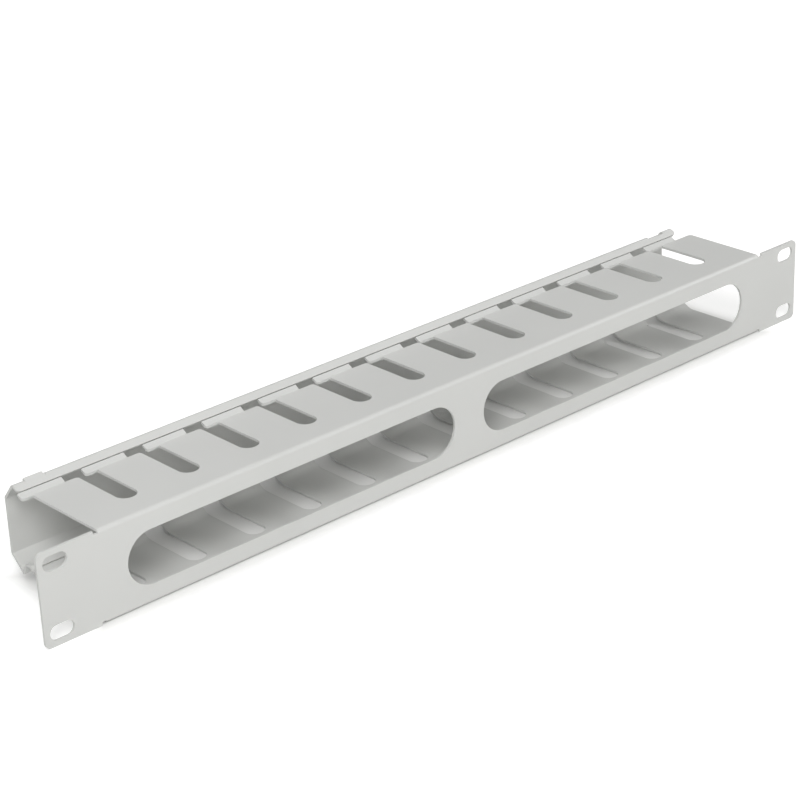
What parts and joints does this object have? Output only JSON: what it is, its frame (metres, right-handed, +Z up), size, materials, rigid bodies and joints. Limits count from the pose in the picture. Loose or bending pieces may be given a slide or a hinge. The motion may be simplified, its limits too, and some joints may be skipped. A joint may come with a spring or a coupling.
{
  "type": "horizontal cable manager",
  "caption": "One rack unit horizontal cable manager: a folded sheet panel with ears, cable windows and finger combs, and a clip-on cover closing the duct.",
  "frame": {"origin": "middle of the four rack holes, on the face that bears on the rack rails", "axes": "+X along the panel to the right, +Y from the rack rails into the duct, +Z up"},
  "size_m": [0.4826, 0.0608, 0.0487],
  "materials": {
    "panel_coat": "light grey powder coat, fine texture, satin",
    "cover_coat": "light grey powder coat, fine texture, satin"
  },
  "bodies": {
    "panel": {"rack_panel": "panel_coat"},
    "cover": {"cover": "cover_coat"}
  },
  "joints": [
    {"name": "cover_pull_off", "type": "slide", "parent": "panel", "child": "cover", "axis": [0, 0.866, 0.5], "range_m": [0, 0.03]}
  ]
}
